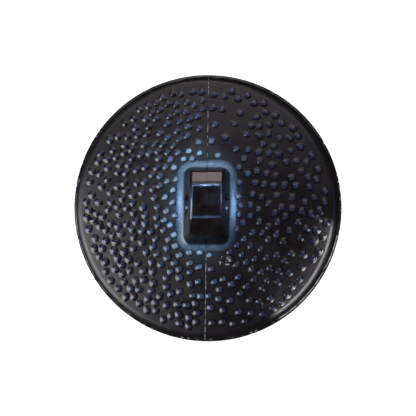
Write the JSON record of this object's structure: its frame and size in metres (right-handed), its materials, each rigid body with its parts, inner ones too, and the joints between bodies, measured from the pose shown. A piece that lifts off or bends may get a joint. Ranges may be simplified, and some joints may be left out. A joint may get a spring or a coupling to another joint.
{
  "type": "self-shank coat button",
  "caption": "Round coat button seen from its back: a shallow studded dome with a solid drilled shank for thread, cemented onto a round front cap with a rounded rim.",
  "frame": {"origin": "centre of the flat ring that the button's face rests on, in the plane of that ring", "axes": "+Z from the face towards the shank, +Y along the shank's length and the mould seam, +X along the thread hole"},
  "size_m": [0.0254, 0.0254, 0.0095],
  "materials": {
    "back_plastic": "satin near-black moulding with small random studs, polished shank",
    "cap_plastic": "glossy black moulding, fine chips along the rim",
    "cement": "thin film of clear amber cement"
  },
  "bodies": {
    "root": {"shank_back": "back_plastic", "front_cap": "cap_plastic", "cement_ring": "cement"}
  },
  "joints": []
}
